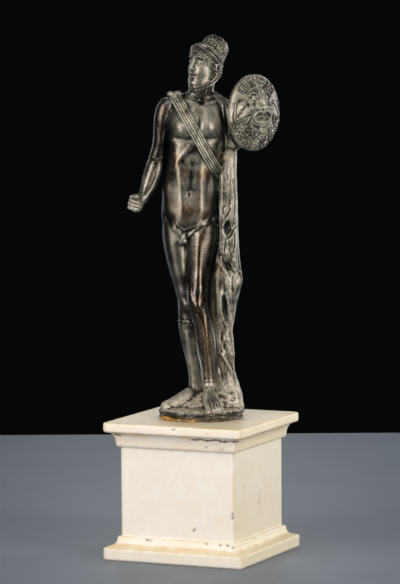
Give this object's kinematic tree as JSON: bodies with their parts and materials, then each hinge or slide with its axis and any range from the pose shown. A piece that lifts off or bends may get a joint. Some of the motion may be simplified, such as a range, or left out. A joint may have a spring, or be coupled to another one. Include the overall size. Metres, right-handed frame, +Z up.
{
  "type": "bronze statuette on a marble plinth",
  "caption": "Small bronze standing war god in a helmet, with round shield, baldric and cloaked tree stump, fixed on a moulded square marble plinth.",
  "frame": {"origin": "centre of the plinth's underside, on the surface the piece stands on", "axes": "+Z up; -Y is the plinth's front face and +X its right face as seen from the front; the bronze is turned 24 degrees anticlockwise on it, seen from above"},
  "size_m": [0.08, 0.08, 0.2762],
  "materials": {
    "marble": "honed, yellowed at the edges, with small pits and a brown crack",
    "bronze": "dark brown lacquer patina, rubbed bright on the high places, dull grey-green in the hollows",
    "wax": "amber, uneven"
  },
  "bodies": {
    "root": {"marble_plinth": "marble", "bronze_figure": "bronze", "fixing_wax": "wax"}
  },
  "joints": []
}
